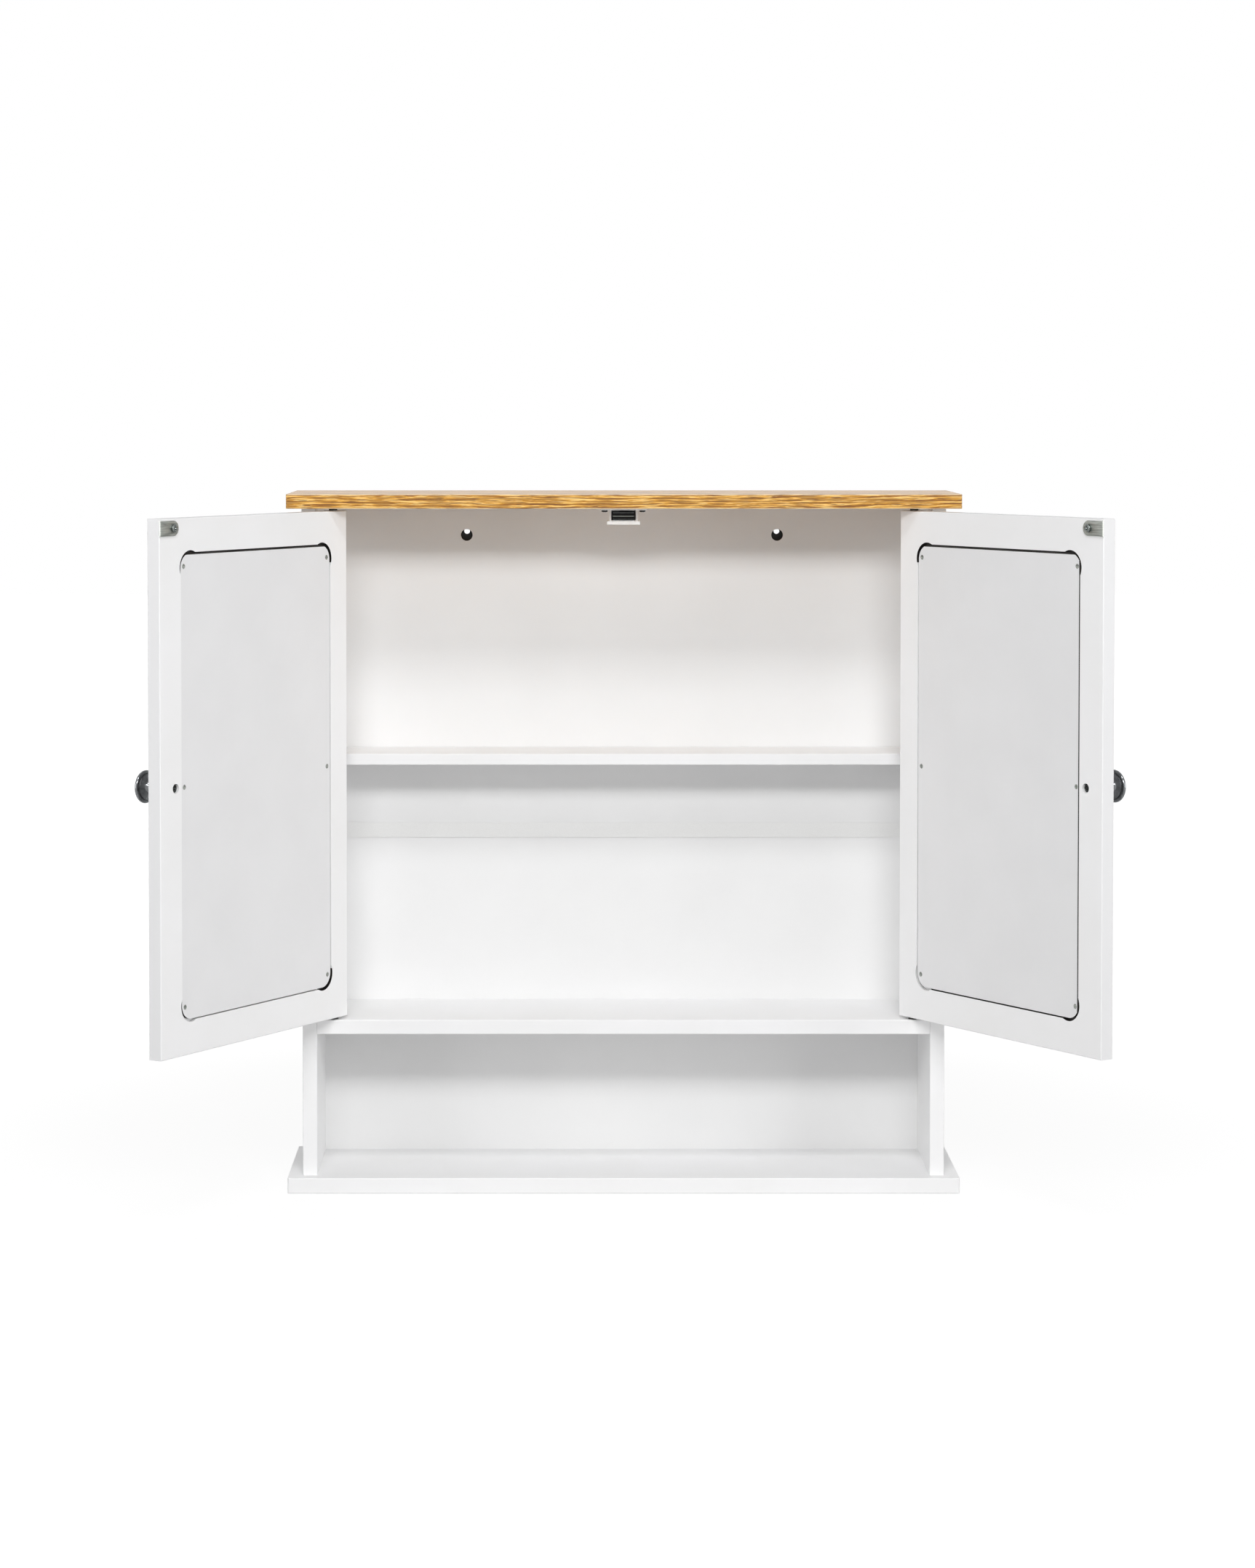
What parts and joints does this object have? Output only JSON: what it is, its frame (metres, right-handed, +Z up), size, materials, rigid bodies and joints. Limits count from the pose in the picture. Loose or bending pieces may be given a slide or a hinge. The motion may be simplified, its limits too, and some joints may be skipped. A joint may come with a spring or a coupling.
{
  "type": "double door mirrored cabinet",
  "caption": "Wall-hung cabinet with a pair of framed mirror doors on pivot pins, an oak-finished top, inner shelves and an open niche below.",
  "frame": {"origin": "midway between the two wall screw holes, on the plane of the wall", "axes": "+X to the right seen from the front, +Y into the wall, +Z up; the doors face -Y"},
  "size_m": [0.776, 0.3201, 0.581],
  "materials": {
    "oak_top": "oak effect laminate, satin",
    "white_board": "white painted board, satin",
    "white_plastic": "moulded white plastic",
    "back_board": "white faced hardboard",
    "door_backing": "pale grey faced hardboard",
    "mirror": "silvered glass",
    "zinc_steel": "zinc plated steel",
    "black_steel": "black coated steel",
    "zinc_casting": "zinc casting",
    "beech": "plain beech",
    "black_nylon": "black nylon",
    "magnet": "sintered ferrite",
    "knob_metal": "gunmetal plated"
  },
  "bodies": {
    "carcass": {"top_board": "oak_top", "base_board": "white_board", "left_side": "white_board", "right_side": "white_board", "fixed_shelf": "white_board", "middle_shelf": "white_board", "shelf_pins": "zinc_steel", "upper_back_panel": "back_board", "lower_back_panel": "back_board", "back_joint_strip": "white_plastic", "wall_brackets": "black_steel", "bracket_screws": "zinc_steel", "cam_locks": "zinc_casting", "cam_bolts": "zinc_steel", "dowels": "beech", "base_screws": "zinc_steel", "pivot_bushes": "black_nylon", "catch_housing": "white_plastic", "catch_magnet": "magnet", "catch_pole_plates": "zinc_steel", "catch_screws": "black_steel"},
    "left_door": {"left_door_frame": "white_board", "left_mirror": "mirror", "left_backing": "door_backing", "left_backing_screws": "zinc_steel", "left_pivot_pins": "zinc_steel", "left_knob": "knob_metal", "left_knob_screw": "zinc_steel", "left_strike_plate": "zinc_steel", "left_strike_screw": "zinc_steel"},
    "right_door": {"right_door_frame": "white_board", "right_mirror": "mirror", "right_backing": "door_backing", "right_backing_screws": "zinc_steel", "right_pivot_pins": "zinc_steel", "right_knob": "knob_metal", "right_knob_screw": "zinc_steel", "right_strike_plate": "zinc_steel", "right_strike_screw": "zinc_steel"}
  },
  "joints": [
    {"name": "left_door_hinge", "type": "hinge", "parent": "carcass", "child": "left_door", "pos_m": [-0.2411, -0.112, -0.19], "axis": [0, 0, -1], "range_deg": [-121.7, 6.3]},
    {"name": "right_door_hinge", "type": "hinge", "parent": "carcass", "child": "right_door", "pos_m": [0.2411, -0.112, -0.19], "axis": [0, 0, 1], "range_deg": [-123.5, 4.5]}
  ]
}
